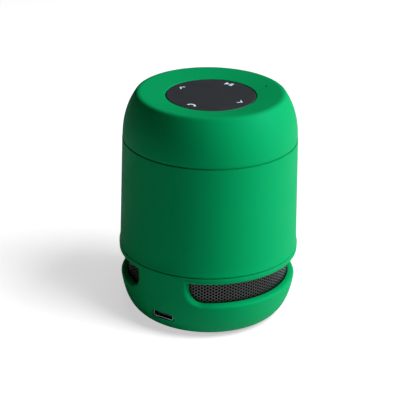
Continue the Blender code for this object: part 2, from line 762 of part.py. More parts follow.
def make_screws():
    long_screw = screw_mesh("long_screw", 1.35, 0.75, 0.75, 4.6)
    deck_screw = screw_mesh("deck_screw", 1.5, 1.0, 0.75, 6.5)
    small_screw = screw_mesh("small_screw", 1.1, 0.8, 0.55, 2.8)
    post_x, post_y = CHARGE_POST
    board_posts = [(-BOARD_POST_RADIUS, 0), (BOARD_POST_RADIUS, 0)]
    charge_posts = [(-post_x, post_y), (post_x, post_y)]
    place_screws("base_screw", long_screw, base_boss_places(), 1.65, True)
    place_screws("baffle_screw", deck_screw, boss_places(), BAFFLE_Z[0] - 0.1, True)
    place_screws("tray_screw", deck_screw, boss_places(), TRAY_Z[1] + 0.1, False)
    place_screws("driver_screw", small_screw, driver_screw_places(), FLANGE_Z - 0.1, True)
    place_screws("board_screw", small_screw, board_posts, MAIN_BOARD_Z[1] + 0.1, False)
    place_screws("charge_screw", small_screw, charge_posts, CHARGE_BOARD_Z[1] + 0.1, False)


def main():
    make_top_cap()
    make_body_sleeve()
    make_base_shell()
    make_base_plate()
    make_foot_ring()
    make_grille()
    make_sound_diffuser()
    make_touch_parts()
    make_microphone()
    make_inner_tray()
    make_battery()
    make_main_board()
    make_charge_board()
    make_charge_socket()
    make_power_switch()
    make_charge_harness()
    make_baffle()
    make_driver_frame()
    make_moving_coil()
    make_suspension()
    make_motor()
    make_driver_leads()
    for obj in SPEAKER.objects:
        if obj.type == "MESH":
            settle(obj)
    make_screws()


main()
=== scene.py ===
"""Looks of a round portable speaker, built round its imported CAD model.

Sizes are in millimetres and become metres as each mesh is made. The charging socket faces -Y, the sound
slots face +X and -X, and every place comes from the CAD nodes' boxes.
"""

import json
import math

import bmesh
import bpy
from mathutils import Matrix, Vector


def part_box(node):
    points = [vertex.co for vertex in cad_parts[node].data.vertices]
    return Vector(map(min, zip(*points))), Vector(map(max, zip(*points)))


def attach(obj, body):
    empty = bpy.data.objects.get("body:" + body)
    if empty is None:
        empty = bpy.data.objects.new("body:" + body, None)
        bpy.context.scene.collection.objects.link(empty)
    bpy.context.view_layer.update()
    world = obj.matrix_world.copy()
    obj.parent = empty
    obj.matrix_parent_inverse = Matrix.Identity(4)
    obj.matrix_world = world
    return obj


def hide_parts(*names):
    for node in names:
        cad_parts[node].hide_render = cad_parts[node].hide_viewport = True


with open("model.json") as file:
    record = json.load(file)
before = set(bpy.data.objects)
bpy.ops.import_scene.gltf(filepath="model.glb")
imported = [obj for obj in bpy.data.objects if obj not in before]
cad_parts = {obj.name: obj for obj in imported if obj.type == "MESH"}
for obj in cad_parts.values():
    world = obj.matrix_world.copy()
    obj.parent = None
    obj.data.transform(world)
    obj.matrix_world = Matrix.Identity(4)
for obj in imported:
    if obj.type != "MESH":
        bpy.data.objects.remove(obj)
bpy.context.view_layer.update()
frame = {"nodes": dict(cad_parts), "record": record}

MM = 0.001
MERGE = 0.001 * MM
SHARP_ANGLE = 35
LEVEL = 0.99999  # upward part of the normal of a level face

# Segments round a turned piece.
LARGE_ROUND = 180
MEDIUM_ROUND = 96
SMALL_ROUND = 32

ENCLOSURE = "enclosure"
BODY_OF = {node: body for body, nodes in frame["record"]["behaviour"]["bodies"].items() for node in nodes}
SLOT_OF = {node: obj.data.materials[0].name for node, obj in frame["nodes"].items()}


# ---------------------------------------------------------------- outlines


def span(node):
    """A CAD node's lowest and highest corner, in millimetres."""
    low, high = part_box(node)
    return low / MM, high / MM


def middle(node):
    low, high = span(node)
    return (low + high) / 2


def curve_at(corners, t):
    """A point on a cubic curve."""
    weights = ((1 - t) ** 3, 3 * (1 - t) ** 2 * t, 3 * (1 - t) * t**2, t**3)
    return tuple(sum(w * corner[axis] for w, corner in zip(weights, corners)) for axis in (0, 1))


def bezier(corners, steps=16, start=0.0):
    return [curve_at(corners, start + (1 - start) * i / steps) for i in range(steps + 1)]


def blend_points(a, b, share):
    return tuple(x + (y - x) * share for x, y in zip(a, b))


def softened(corners, steps=4):
    """A closed outline of (x, y) or (x, y, reach), whose corners are rounded off over their reach."""
    points = []
    for before, corner, after in zip(corners[-1:] + corners[:-1], corners, corners[1:] + corners[:1]):
        here = Vector(corner[:2])
        if len(corner) == 2:
            points.append(tuple(here))
            continue
        start = here + (Vector(before[:2]) - here).normalized() * corner[2]
        end = here + (Vector(after[:2]) - here).normalized() * corner[2]
        for i in range(steps + 1):
            t = i / steps
            points.append(tuple(start * (1 - t) ** 2 + here * 2 * t * (1 - t) + end * t**2))
    return points


def on_circle(radius, degrees):
    return radius * math.cos(math.radians(degrees)), radius * math.sin(math.radians(degrees))


def mirrored(right):
    """An outline closed by the mirror image of its right half."""
    return right + [(-corner[0], *corner[1:]) for corner in reversed(right)]


# ---------------------------------------------------------------- meshes


def to_mesh(shape, name, repair=False):
    if repair:
        bmesh.ops.remove_doubles(shape, verts=shape.verts, dist=MERGE)
        bmesh.ops.recalc_face_normals(shape, faces=shape.faces)
    mesh = bpy.data.meshes.new(name)
    shape.to_mesh(mesh)
    shape.free()
    return mesh


def sew(shape, upper, lower):
    """Faces between two rings, either of which may be one point."""
    count = max(len(upper), len(lower))
    for i in range(count):
        j = (i + 1) % count
        around = (upper[i % len(upper)], lower[i % len(lower)], lower[j % len(lower)], upper[j % len(upper)])
        shape.faces.new(tuple(dict.fromkeys(around)))


def turn_profile(shape, profile, segments, closed):
    """Adds a profile of (radius, z), run down its outer side, turned about Z."""
    rings = []
    for radius, z in profile:
        turns = [0] if radius == 0 else [-90 + 360 * i / segments for i in range(segments)]
        rings.append([shape.verts.new((*(c * MM for c in on_circle(radius, a)), z * MM)) for a in turns])
    pairs = list(zip(rings, rings[1:]))
    if closed:
        pairs.append((rings[-1], rings[0]))
    for upper, lower in pairs:
        sew(shape, upper, lower)


def turned(name, profile, segments=MEDIUM_ROUND):
    shape = bmesh.new()
    turn_profile(shape, profile, segments, closed=profile[0][0] != 0)
    return to_mesh(shape, name)


def ring(name, inner, outer, low, high, soft=0.1, segments=MEDIUM_ROUND):
    corners = [(outer, high, soft), (outer, low, soft), (inner, low, soft), (inner, high, soft)]
    return turned(name, softened(corners, 3), segments)


def disc(name, radius, low, high, soft=0.1, segments=MEDIUM_ROUND):
    edge = softened([(0, high), (radius, high, soft), (radius, low, soft), (0, low)], 3)
    return turned(name, edge, segments)


def rod(x, y, radius, low, high, segments=SMALL_ROUND):
    mesh = turned("rod", [(0, high), (radius, high), (radius, low), (0, low)], segments)
    mesh.transform(Matrix.Translation((x * MM, y * MM, 0)))
    return mesh


def box(low, high, soft=0.0, steps=3):
    low, high = Vector(low), Vector(high)
    shape = bmesh.new()
    bmesh.ops.create_cube(shape, size=MM)
    bmesh.ops.scale(shape, vec=high - low, verts=shape.verts)
    bmesh.ops.translate(shape, vec=(low + high) / 2 * MM, verts=shape.verts)
    if soft:
        bmesh.ops.bevel(
            shape, geom=shape.edges, offset=soft * MM, segments=steps, profile=0.5, affect="EDGES"
        )
    return to_mesh(shape, "box")


def prism(outline, low, high):
    """A flat outline of (x, y), run from low to high along Z."""
    shape = bmesh.new()
    bottom = [shape.verts.new((x * MM, y * MM, low * MM)) for x, y in outline]
    top = [shape.verts.new((x * MM, y * MM, high * MM)) for x, y in outline]
    shape.faces.new(top)
    shape.faces.new(bottom[::-1])
    sew(shape, top, bottom)
    bmesh.ops.recalc_face_normals(shape, faces=shape.faces)
    return to_mesh(shape, "prism")


def socket_block(outline, back_y, front_y):
    """An outline of (x, z) run along Y."""
    mesh = prism(outline, -back_y, -front_y)
    mesh.transform(Matrix.Rotation(math.pi / 2, 4, "X"))
    return mesh


def moved(mesh, x=0.0, y=0.0, z=0.0, turn=0.0):
    mesh.transform(Matrix.Translation((x * MM, y * MM, z * MM)) @ Matrix.Rotation(math.radians(turn), 4, "Z"))
    return mesh


def gathered(name, meshes):
    """Separate solids as one mesh."""
    shape = bmesh.new()
    for mesh in meshes:
        shape.from_mesh(mesh)
        bpy.data.meshes.remove(mesh)
    return to_mesh(shape, name)


def carved(mesh, tools, operation="DIFFERENCE"):
    """The mesh after the tools, which don't touch each other, are cut from it or joined to it."""
    blank = bpy.data.objects.new("blank", mesh)
    tool = bpy.data.objects.new("tool", gathered("tool", tools))
    for obj in (blank, tool):
        bpy.context.scene.collection.objects.link(obj)
    step = blank.modifiers.new("Step", "BOOLEAN")
    step.operation = operation
    step.object = tool
    bpy.context.view_layer.update()
    graph = bpy.context.evaluated_depsgraph_get()
    result = bpy.data.meshes.new_from_object(blank.evaluated_get(graph))
    result.name = mesh.name
    for obj in (blank, tool):
        bpy.data.objects.remove(obj)
    return result


def joined(mesh, tools):
    return carved(mesh, tools, "UNION")


# ---------------------------------------------------------------- materials


def add_node(tree, kind, **values):
    node = tree.nodes.new("ShaderNode" + kind)
    for name, value in values.items():
        node.inputs[name.replace("_", " ")].default_value = value
    return node


def add_texture(tree, kind, **values):
    """A texture in object coordinates."""
    texture = add_node(tree, kind, **values)
    tree.links.new(add_node(tree, "TexCoord").outputs["Object"], texture.inputs["Vector"])
    return texture


def noise(tree, size, detail=2.0):
    """Noise whose features are about this many millimetres wide."""
    return add_texture(tree, "TexNoise", Scale=1 / (size * MM), Detail=detail).outputs["Fac"]


def waves(tree, pitch, direction):
    """Bands this many millimetres apart."""
    texture = add_texture(tree, "TexWave", Scale=math.tau / 20 / (pitch * MM))
    texture.bands_direction = direction
    return texture.outputs["Fac"]


def weave(tree, pitch):
    """Threads crossing along X and Y."""
    product = tree.nodes.new("ShaderNodeMath")
    product.operation = "MAXIMUM"
    tree.links.new(waves(tree, pitch, "X"), product.inputs[0])
    tree.links.new(waves(tree, pitch, "Y"), product.inputs[1])
    return product.outputs[0]


def cells(tree, size):
    """Round cells about this many millimetres apart."""
    return add_texture(tree, "TexVoronoi", Scale=1 / (size * MM)).outputs["Distance"]


def blend_colours(tree, factor, dark, light):
    mix = tree.nodes.new("ShaderNodeMix")
    mix.data_type = "RGBA"
    mix.inputs[6].default_value = (*dark, 1)
    mix.inputs[7].default_value = (*light, 1)
    tree.links.new(factor, mix.inputs[0])
    return mix.outputs[2]


def scaled(colour, factor):
    return tuple(min(1.0, channel * factor) for channel in colour)


def finish(
    name, colour, rough, metallic=0.0, mottle=0.05, patch=3.0, second=None, pattern=None,
    grain=0.3, height=3.0, **more
):
    """A material: colour and roughness drift in patches, with grain this wide and so many micrometres high."""
    material = bpy.data.materials.new(name + "_finish")
    material.use_nodes = True
    tree = material.node_tree
    shader = tree.nodes["Principled BSDF"]
    shader.inputs["Metallic"].default_value = metallic
    for socket, value in more.items():
        shader.inputs[socket.replace("_", " ")].default_value = value
    drift = pattern(tree) if pattern else noise(tree, patch, 3.0)
    dark, light = second or (scaled(colour, 1 - mottle), scaled(colour, 1 + mottle))
    tree.links.new(blend_colours(tree, drift, dark, light), shader.inputs["Base Color"])
    gloss = add_node(tree, "MapRange", From_Min=0.3, From_Max=0.7, To_Min=rough * 0.92, To_Max=rough * 1.08)
    tree.links.new(noise(tree, patch, 2.0), gloss.inputs["Value"])
    tree.links.new(gloss.outputs["Result"], shader.inputs["Roughness"])
    bump = add_node(tree, "Bump", Strength=1.0, Distance=height * MM / 1000)
    tree.links.new(pattern(tree) if pattern else noise(tree, grain, 2.0), bump.inputs["Height"])
    tree.links.new(bump.outputs["Normal"], shader.inputs["Normal"])
    return material


def make_finishes():
    """One material for each of the record's material slots."""
    steel = (0.42, 0.42, 0.43)
    return {
        "soft_green": finish(
            "soft_green", (0.0, 0.25, 0.067), 0.65, mottle=0.03, patch=9, grain=0.22, height=2.5,
            Specular_IOR_Level=0.15, Specular_Tint=(0.0, 1.0, 1.0, 1.0),
        ),
        "panel_black": finish(
            "panel_black", (0.022, 0.02, 0.021), 0.6, mottle=0.04, patch=4, height=1, Specular_IOR_Level=0.3
        ),
        "rubber_black": finish("rubber_black", (0.02, 0.02, 0.02), 0.8, grain=0.25, height=8),
        "plastic_black": finish("plastic_black", (0.03, 0.03, 0.031), 0.5, grain=0.2, height=6),
        "grille_metal": finish("grille_metal", (0.076, 0.064, 0.058), 0.33, 0.9, grain=0.1, height=2),
        "steel": finish("steel", steel, 0.3, 1.0, grain=0.12, height=1.0, Anisotropic=0.3),
        "magnet_dark": finish(
            "magnet_dark", (0.075, 0.075, 0.08), 0.5, 0.3, mottle=0.25, grain=0.35, height=12
        ),
        "paper_grey": finish(
            "paper_grey", (0.055, 0.055, 0.06), 0.85, mottle=0.3, patch=0.7, grain=0.3, height=14
        ),
        "spider_cloth": finish(
            "spider_cloth", (0.5, 0.35, 0.12), 0.85, height=30,
            second=((0.32, 0.2, 0.06), (0.6, 0.43, 0.16)), pattern=lambda tree: weave(tree, 0.5),
        ),
        "copper": finish(
            "copper", (0.72, 0.3, 0.12), 0.3, 1.0, second=((0.4, 0.13, 0.04), (0.8, 0.36, 0.15)),
            pattern=lambda tree: waves(tree, 0.2, "Z"), height=15,
        ),
        "board_green": finish(
            "board_green", (0.02, 0.15, 0.055), 0.35, mottle=0.25, patch=1.3, grain=0.6, height=6
        ),
        "chip_black": finish("chip_black", (0.022, 0.022, 0.024), 0.45, grain=0.12, height=5),
        "tray_grey": finish("tray_grey", (0.2, 0.2, 0.21), 0.55, grain=0.2, height=6),
        "battery_silver": finish(
            "battery_silver", (0.5, 0.52, 0.55), 0.36, 0.6, mottle=0.07, patch=5, grain=0.7, height=14
        ),
        "foam_grey": finish(
            "foam_grey", (0.1, 0.1, 0.1), 0.95, second=((0.16, 0.16, 0.16), (0.05, 0.05, 0.05)),
            pattern=lambda tree: cells(tree, 0.4), height=60,
        ),
        "adhesive_white": finish("adhesive_white", (0.7, 0.7, 0.68), 0.6, grain=0.4, height=6),
        "connector_white": finish("connector_white", (0.75, 0.74, 0.7), 0.45, grain=0.3, height=4),
        "flex_amber": finish("flex_amber", (0.5, 0.22, 0.03), 0.32, mottle=0.15, patch=1.5, height=2),
        "wire_red": finish("wire_red", (0.5, 0.02, 0.02), 0.45, grain=0.3, height=4),
        "wire_black": finish("wire_black", (0.022, 0.022, 0.022), 0.45, grain=0.3, height=4),
        "print_white": finish("print_white", (0.82, 0.82, 0.83), 0.5, mottle=0.02, height=0.5),
        "gold": finish("gold", (0.85, 0.6, 0.22), 0.28, 1.0, height=1),
    }


FINISH = make_finishes()


# ---------------------------------------------------------------- pieces


def smooth(mesh):
    """Smooth shading, broken at corners and round level faces, which would otherwise show bent normals."""
    mesh.shade_smooth()
    mesh.set_sharp_from_angle(angle=math.radians(SHARP_ANGLE))
    shape = bmesh.new()
    shape.from_mesh(mesh)
    for edge in shape.edges:
        if len({abs(face.normal.z) > LEVEL for face in edge.link_faces}) == 2:
            edge.smooth = False
    shape.to_mesh(mesh)
    shape.free()


def show(name, mesh, look, body):
    """A new piece, in the finish made for one of the record's slots."""
    obj = bpy.data.objects.new(name, mesh)
    bpy.context.scene.collection.objects.link(obj)
    mesh.materials.clear()
    mesh.materials.append(FINISH[look])
    smooth(mesh)
    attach(obj, body)
    return obj


def trim(name, mesh, look):
    return show(name, mesh, look, ENCLOSURE)


def stand_in(node, mesh):
    """A fine piece in a CAD node's place, with its finish and on its body."""
    obj = show(node + "_fine", mesh, SLOT_OF[node], BODY_OF[node])
    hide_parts(node)
    return obj


# ---------------------------------------------------------------- top cap and touch panel

MIC_PLACE = middle("microphone")
PANEL_SLOT = 0.25  # gap round the touch panel
HIGH_SEAM = 0.08  # gap between the cap and the sleeve


def make_top_cap():
    """Rounded ring: crest, outer side, skirt inside the sleeve, inner side, panel seat and shallow dish."""
    low, high = span("top_cap")
    rim, top = high.x, high.z
    crown = rim - 5.5
    edge = span("body_sleeve")[1].z + HIGH_SEAM
    panel = span("touch_panel")[1]
    well = panel.x + PANEL_SLOT
    seat = panel.z - 1.4
    dish_start, dish_end = (well + 0.15, top - 1.15), (crown - 0.9, top - 0.126)
    brow = (crown + 1.5, top - 0.8)
    crest = bezier([dish_end, (crown + 0.1, top + 0.05), (crown + 1.0, top), brow], 14)[:-1]
    side = bezier([brow, (crown + 3.2, top - 3.35), (rim, top - 7.8), (rim, edge + 0.42)], 32)
    outer, inner = 27.0, 25.6
    skirt = softened(
        [(rim, edge, 0.15), (outer, edge), (outer, low.z, 0.3), (inner, low.z, 0.3), (inner, edge + 0.92)]
    )
    inside = bezier([(26.6, 64.0), (26.6, 69.0), (24.9, 75.3), (20.8, 75.3)], 12)
    shelf = [(15.9, 74.8), (15.9, seat - 1.25), (13.2, seat - 1.25), (13.2, seat), (well, seat)]
    lip = bezier([(well, top - 1.35), (well, top - 1.22), (well + 0.05, top - 1.17), dish_start], 5)
    dish = [blend_points(dish_start, dish_end, share) for share in (0.02, 0.06, 0.3, 0.6, 0.9, 0.97)]
    mesh = turned("top_cap", crest + side + skirt + inside + shelf + lip + dish, LARGE_ROUND)
    hole = rod(MIC_PLACE.x, MIC_PLACE.y, 0.5, top - 5, top + 2)
    stand_in("top_cap", carved(mesh, [hole]))


def make_touch_panel():
    low, high = span("touch_panel")
    edge = softened([(0, high.z), (high.x, high.z, 0.3), (high.x, low.z), (0, low.z)], 5)
    stand_in("touch_panel", turned("touch_panel", edge, LARGE_ROUND))


def chevron():
    """An angle bracket that points along -X, about its middle."""
    point, reach, half_high, stroke = -0.8, 1.55, 1.4, 0.42
    upper = [(point, 0), (point + reach - 0.2, half_high), (point + reach, half_high - 0.3)]
    inner = (point + stroke * 1.35, 0)
    return [upper[0], *[(x, -y) for x, y in upper[1:]], inner, upper[2], upper[1]]


def play_and_pause():
    """A triangle that points along +X, then two bars."""
    triangle = [(-1.35, -1.0), (0.25, 0.0), (-1.35, 1.0)]
    bars = [[(x, -1.0), (x + 0.38, -1.0), (x + 0.38, 1.0), (x, 1.0)] for x in (0.45, 1.05)]
    return [triangle, *bars]


def handset():
    """A telephone handset on its side: a shallow arched grip between two thicker ends."""
    outer = [on_circle(1.75, angle) for angle in range(32, 149, 9)]
    grip = [on_circle(1.2, angle) for angle in range(128, 51, -8)]
    left, right = [(-1.6, 0.35), (-0.95, 0.25)], [(0.95, 0.25), (1.6, 0.35)]
    return [(x, y - 1.05) for x, y in [*outer, *left, *grip, *right]]


def make_symbols():
    """White prints on the panel, each a thin layer of ink."""
    surface = span("touch_panel")[1].z
    ink = 0.03
    signs = {
        "back_symbol": ([chevron()], (-11.5, 0.2), 0),
        "play_symbol": (play_and_pause(), (-0.4, 11.9), 0),
        "next_symbol": ([chevron()], (11.3, -0.2), 180),
        "call_symbol": ([handset()], (0.0, -11.3), 0),
    }
    for name, (outlines, (x, y), turn) in signs.items():
        prints = [prism(outline, surface - 0.01, surface + ink) for outline in outlines]
        trim(name, moved(gathered(name, prints), x, y, turn=turn), "print_white")


def make_under_panel():
    """Adhesive ring and sensor board."""
    low, high = span("panel_adhesive")
    stand_in("panel_adhesive", ring("panel_adhesive", 13.4, high.x, low.z, high.z, 0.04))
    low, high = span("touch_board")
    stand_in("touch_board", disc("touch_board", high.x, low.z, high.z, 0.05))


def make_microphone():
    low, high = span("microphone_boot")
    radius = (high.x - low.x) / 2
    wall = [(radius, high.z, 0.2), (radius, low.z, 0.2), (2.2, low.z, 0.1), (2.2, 73.6)]
    boot = turned("microphone_boot", softened([*wall, (0.6, 73.6), (0.6, high.z, 0.1)]), SMALL_ROUND)
    stand_in("microphone_boot", moved(boot, MIC_PLACE.x, MIC_PLACE.y))
    low, high = span("microphone")
    capsule = disc("microphone", (high.x - low.x) / 2, low.z, high.z, 0.2, SMALL_ROUND)
    stand_in("microphone", moved(capsule, MIC_PLACE.x, MIC_PLACE.y))


# ---------------------------------------------------------------- sleeve

BOSS_ANGLES = (30, 150, 270)
BOSS_RADIUS = 24.2
BOSS_PLACES = [on_circle(BOSS_RADIUS, angle) for angle in BOSS_ANGLES]


def make_body_sleeve():
    """Long tapered tube with a flared lower edge, and three posts inside it."""
    low, high = span("body_sleeve")
    widest, top, bottom = high.x, high.z, low.z
    inside = 27.3
    flare = bezier([(29.6, 27.4), (29.63, 26.2), (29.8, 25.3), (29.97, 24.5)], 8)
    shoulder = softened([(28.9, top, 0.15), (29.6, 27.4)])[:-1]
    foot = softened([(29.97, 24.5), (widest, bottom, 0.28), (27.8, bottom)])[1:]
    profile = shoulder + flare + foot + [(27.8, 26.8), (inside, 27.1), (inside, top)]
    mesh = turned("body_sleeve", profile, LARGE_ROUND)
    low, high = span("baffle_plate")[1].z + 0.3, span("inner_tray")[0].z - 0.2
    posts, webs, pilots = [], [], []
    for angle, (x, y) in zip(BOSS_ANGLES, BOSS_PLACES):
        posts.append(rod(x, y, 2.3, low, high))
        webs.append(moved(box((BOSS_RADIUS, -1.2, low + 0.02), (inside + 0.6, 1.2, high - 0.02)), turn=angle))
        pilots += [rod(x, y, 1.0, low - 1, low + 6), rod(x, y, 1.0, high - 6, high + 1)]
    mesh = joined(joined(mesh, posts), webs)
    stand_in("body_sleeve", carved(mesh, pilots))


# ---------------------------------------------------------------- slotted base

BASE_LOW, BASE_HIGH = span("base_shell")
LOW_SEAM = 0.26  # gap between the sleeve and the base
RIM_Z = span("body_sleeve")[0].z - LOW_SEAM
RIM_RADIUS = BASE_HIGH.x
WALL_LOW = (RIM_RADIUS - 0.43, BASE_LOW.z + 13.9)
GROOVE_RADIUS = span("foot_ring")[1].x + 0.8
BOWL = [WALL_LOW, (28.9, BASE_LOW.z + 7.8), (27.0, BASE_LOW.z), (GROOVE_RADIUS, BASE_LOW.z)]
BASE_INSIDE = 27.2

SLOT_RADIUS = 27.4
SLOT_HALF_ANGLE = 70.8
SLOT_LOW_Z = 13.75
SLOT_HIGH_Z = 21.2
SLOT_CORNER = 5.2
ROUND_OVER = 1.2  # width of the slot's soft edge on the wall
ROUND_DEPTH = 2.1  # and its depth into the wall
ROUND_STEPS = 8

# The piece of wall round each slot, and how many faces run along it and up it.
CELL_OUTSIDE = (11.4, 22.9)
CELL_INSIDE = (10.6, 22.6)
CELL_LONG = LARGE_ROUND // 2
CELL_HIGH = 16
CORNER_STEPS = 10
BLENDS = (0.25, 0.5, 0.75)


def bowl_share(z):
    """How far along the bowl's curve it is this high."""
    low, high = 0.0, 1.0
    for _ in range(50):
        share = (low + high) / 2
        low, high = (share, high) if curve_at(BOWL, share)[1] > z else (low, share)
    return low


def wall_radius(z):
    """Radius of the base's outer surface."""
    radius, start = WALL_LOW
    if z < start:
        return curve_at(BOWL, bowl_share(z))[0]
    return radius + (RIM_RADIUS - radius) * (z - start) / (RIM_Z - 0.2 - start)


def slot_outline():
    """Points round a slot from its lower left corner: along the wall, z, and the way out of the slot."""
    half = math.radians(SLOT_HALF_ANGLE) * SLOT_RADIUS
    bend, centre = half - SLOT_CORNER, SLOT_LOW_Z + SLOT_CORNER

    def arc(side, first):
        turns = [math.radians(first + 45 * i / CORNER_STEPS) for i in range(CORNER_STEPS)]
        ways = [(math.cos(turn), math.sin(turn)) for turn in turns]
        return [(side * bend + SLOT_CORNER * x, centre + SLOT_CORNER * z, x, z) for x, z in ways]

    def run(start, end, steps, way):
        return [(*blend_points(start, end, i / steps), *way) for i in range(steps)]

    straight_high = CELL_HIGH - CORNER_STEPS
    bottom = run((-bend, SLOT_LOW_Z), (bend, SLOT_LOW_Z), CELL_LONG - 2 * CORNER_STEPS, (0, -1))
    right = run((half, centre), (half, SLOT_HIGH_Z), straight_high, (1, 0))
    top = run((half, SLOT_HIGH_Z), (-half, SLOT_HIGH_Z), CELL_LONG, (0, 1))
    left = run((-half, SLOT_HIGH_Z), (-half, centre), straight_high, (-1, 0))
    top[0], left[0] = (half, SLOT_HIGH_Z, 1, 1), (-half, SLOT_HIGH_Z, -1, 1)
    return arc(-1, 225) + bottom + arc(1, 270) + arc(1, 315) + right + top + left + arc(-1, 180)


def cell_outline(low, high):
    """(angle, z) round the piece of wall that holds a slot, point for point with the slot's outline."""
    long, tall = range(CELL_LONG), range(CELL_HIGH)
    bottom = [(-90 + 180 * i / CELL_LONG, low) for i in long]
    right = [(90, low + (high - low) * i / CELL_HIGH) for i in tall]
    top = [(90 - 180 * i / CELL_LONG, high) for i in long]
    left = [(-90, high - (high - low) * i / CELL_HIGH) for i in tall]
    return bottom + right + top + left


def grown_outline(offset):
    """The slot's outline as (angle, z), moved out by an offset."""
    return [
        (math.degrees((along + offset * out_along) / SLOT_RADIUS), z + offset * out_z)
        for along, z, out_along, out_z in slot_outline()
    ]


def slot_layers():
    """Loops of (angle, z, radius) from the inner wall, round the slot and its soft edge, to the outer wall."""
    edge, soft_edge = grown_outline(0), grown_outline(ROUND_OVER)
    inner, outer = cell_outline(*CELL_INSIDE), cell_outline(*CELL_OUTSIDE)
    layers = []
    for share in (0, *BLENDS, 1):
        points = [blend_points(a, b, share) for a, b in zip(inner, edge)]
        layers.append([(angle, z, BASE_INSIDE) for angle, z in points])
    for step in range(ROUND_STEPS + 1):
        lean = math.pi / 2 * step / ROUND_STEPS
        depth = ROUND_DEPTH * (1 - math.sin(lean))
        points = grown_outline(ROUND_OVER * (1 - math.cos(lean)))
        layers.append([(angle, z, wall_radius(z) - depth) for angle, z in points])
    for share in (*BLENDS, 1):
        points = [blend_points(a, b, share) for a, b in zip(soft_edge, outer)]
        layers.append([(angle, z, wall_radius(z)) for angle, z in points])
    return layers


SOCKET_Z = middle("usb_shell").z
BASE_BOSS_PLACES = [on_circle(15.0, angle) for angle in (90, 210, 330)]
CHARGE_POSTS = [(middle(node).x, middle(node).y) for node in ("charge_screw_1", "charge_screw_2")]


def socket_outline(half_width, height, chamfer, soft):
    """Micro-USB outline of (x, z): wide below, with its two upper corners cut off."""
    low, high = SOCKET_Z - height / 2, SOCKET_Z + height / 2
    right = [(half_width, low, soft), (half_width, high - chamfer, soft), (half_width - chamfer, high, soft)]
    return softened(mirrored(right))


def make_base_shell():
    """Bowl and rim, with the two slotted pieces of wall, screw posts and the socket's cut-out."""
    shape = bmesh.new()
    for facing in (0, 180):
        loops = []
        for layer in slot_layers():
            points = [(*on_circle(radius, facing + angle), z) for angle, z, radius in layer]
            loops.append([shape.verts.new(Vector(point) * MM) for point in points])
        for a, b in zip(loops, loops[1:]):
            sew(shape, a, b)
    low_z, high_z = CELL_OUTSIDE
    floor_z = BASE_LOW.z
    bowl = bezier(BOWL, 30, bowl_share(low_z))
    groove = [(20.9, floor_z, 0.12), (20.9, 1.5), (18.3, 1.5), (18.3, floor_z, 0.12), (17.4, floor_z, 0.12)]
    inner_floor = [(17.4, 2.4), (13.4, 2.4), (13.4, 3.6, 0.2)]
    inner_side = bezier([(20.8, 3.6), (23.9, 3.7), (25.3, 5.6), (25.3, 8.6)], 8)
    ledge = [(25.3, 9.6), (BASE_INSIDE, 9.6), (BASE_INSIDE, CELL_INSIDE[0])]
    underside = softened([bowl[-1], *groove, *inner_floor, inner_side[0]])[1:-1]
    turn_profile(shape, bowl + underside + inner_side + ledge, LARGE_ROUND, closed=False)
    spigot = [(BASE_INSIDE, CELL_INSIDE[1]), (BASE_INSIDE, 22.9), (26.2, 23.1), (26.2, BASE_HIGH.z, 0.2)]
    spigot += [(27.5, BASE_HIGH.z, 0.3), (27.5, RIM_Z), (RIM_RADIUS, RIM_Z, 0.22)]
    spigot += [(wall_radius(high_z), high_z)]
    turn_profile(shape, softened(spigot)[::-1], LARGE_ROUND, closed=False)
    mesh = to_mesh(shape, "base_shell", repair=True)
    board_low = span("charge_board")[0].z - 0.15
    posts = [rod(x, y, 2.1, 2.6, 7.0) for x, y in BASE_BOSS_PLACES]
    posts += [rod(x, y, 1.6, 3.0, board_low) for x, y in CHARGE_POSTS]
    mesh = joined(mesh, posts)
    holes = [rod(x, y, 0.95, 0.5, 6.4) for x, y in BASE_BOSS_PLACES]
    holes += [rod(x, y, 0.8, 2.7, 6.0) for x, y in CHARGE_POSTS]
    mesh = carved(mesh, [box((-5.2, -26.3, 4.4), (5.2, -20.0, 8.6)), *holes])
    cut_out = socket_block(socket_outline(4.3, 2.9, 1.1, 0.55), -25.0, -31.0)
    stand_in("base_shell", carved(mesh, [cut_out]))


def make_base_plate():
    """Disc that closes the underside, with a finger recess round the switch."""
    low, high = span("base_plate")
    mesh = disc("base_plate", high.x, low.z, high.z, 0.2, LARGE_ROUND)
    recess_z = 1.5
    mesh = carved(mesh, [rod(x, y, 1.55, 0.0, 1.7) for x, y in BASE_BOSS_PLACES])
    mesh = carved(mesh, [rod(x, y, 0.95, 1.0, 3.0) for x, y in BASE_BOSS_PLACES])
    mesh = carved(mesh, [box((-4.6, -2.3, -recess_z), (4.6, 2.3, recess_z), 0.6)])
    stand_in("base_plate", carved(mesh, [box((-2.2, -1.15, 0.0), (2.2, 1.15, 3.0))]))


def make_foot_ring():
    low, high = span("foot_ring")
    corners = [(high.x, high.z), (high.x, low.z, 0.35), (18.5, low.z, 0.35), (18.5, high.z)]
    stand_in("foot_ring", turned("foot_ring", softened(corners, 5), LARGE_ROUND))


# ---------------------------------------------------------------- grille and diffuser

GRILLE_COLUMNS = 180
HOLE_PITCH = 1.08
HOLE_RADIUS = 0.41
SHEET = 0.5  # thickness
ROUND_CELL = [(-1, -1), (0, -1), (1, -1), (1, 0), (1, 1), (0, 1), (-1, 1), (-1, 0)]


